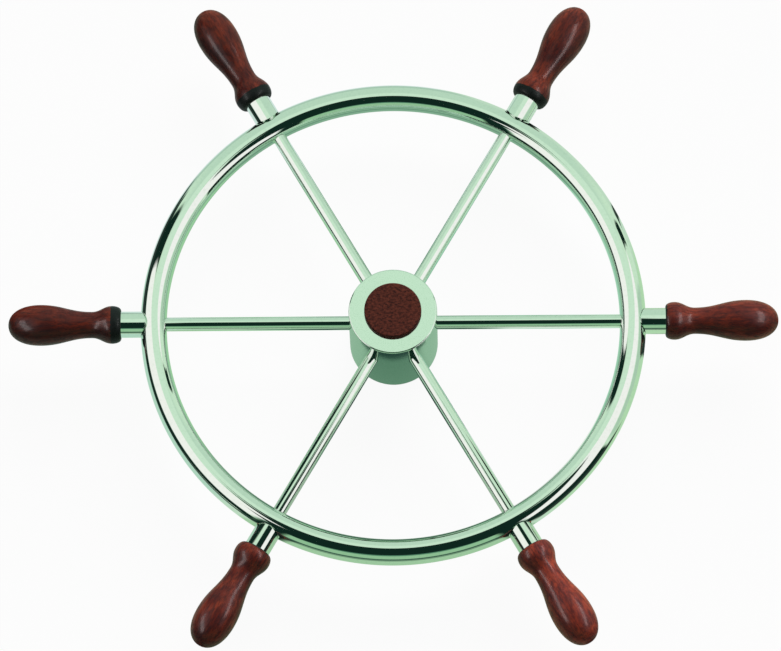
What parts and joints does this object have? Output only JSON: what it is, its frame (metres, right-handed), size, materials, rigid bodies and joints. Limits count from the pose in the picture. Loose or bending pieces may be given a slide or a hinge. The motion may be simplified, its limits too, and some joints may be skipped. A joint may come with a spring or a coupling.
{
  "type": "boat steering wheel",
  "caption": "Boat steering wheel: polished tube rim and round spokes welded to a keyed cylindrical hub, with turned wood handles and a wood hub cap.",
  "frame": {"origin": "centre of the shaft bore, in the plane of the hub's back face, on which the wheel rests", "axes": "+Z along the wheel's axis towards its front, +X through a spoke and its handle"},
  "size_m": [0.75, 0.654, 0.104],
  "materials": {
    "rim_steel": "polished stainless tube and bar, mirror bright",
    "hub_steel": "turned stainless, satin on the side and bright on the face",
    "stud_steel": "plain turned",
    "handle_wood": "dark red-brown hardwood, turned and varnished",
    "cap_wood": "dark brown hardwood disc, satin"
  },
  "bodies": {
    "root": {"rim": "rim_steel", "hub": "hub_steel", "hub_cap": "cap_wood", "spoke_1": "rim_steel", "spoke_2": "rim_steel", "spoke_3": "rim_steel", "spoke_4": "rim_steel", "spoke_5": "rim_steel", "spoke_6": "rim_steel", "handle_stub_1": "rim_steel", "handle_stub_2": "rim_steel", "handle_stub_3": "rim_steel", "handle_stub_4": "rim_steel", "handle_stub_5": "rim_steel", "handle_stub_6": "rim_steel", "handle_stud_1": "stud_steel", "handle_stud_2": "stud_steel", "handle_stud_3": "stud_steel", "handle_stud_4": "stud_steel", "handle_stud_5": "stud_steel", "handle_stud_6": "stud_steel", "handle_1": "handle_wood", "handle_2": "handle_wood", "handle_3": "handle_wood", "handle_4": "handle_wood", "handle_5": "handle_wood", "handle_6": "handle_wood"}
  },
  "joints": []
}
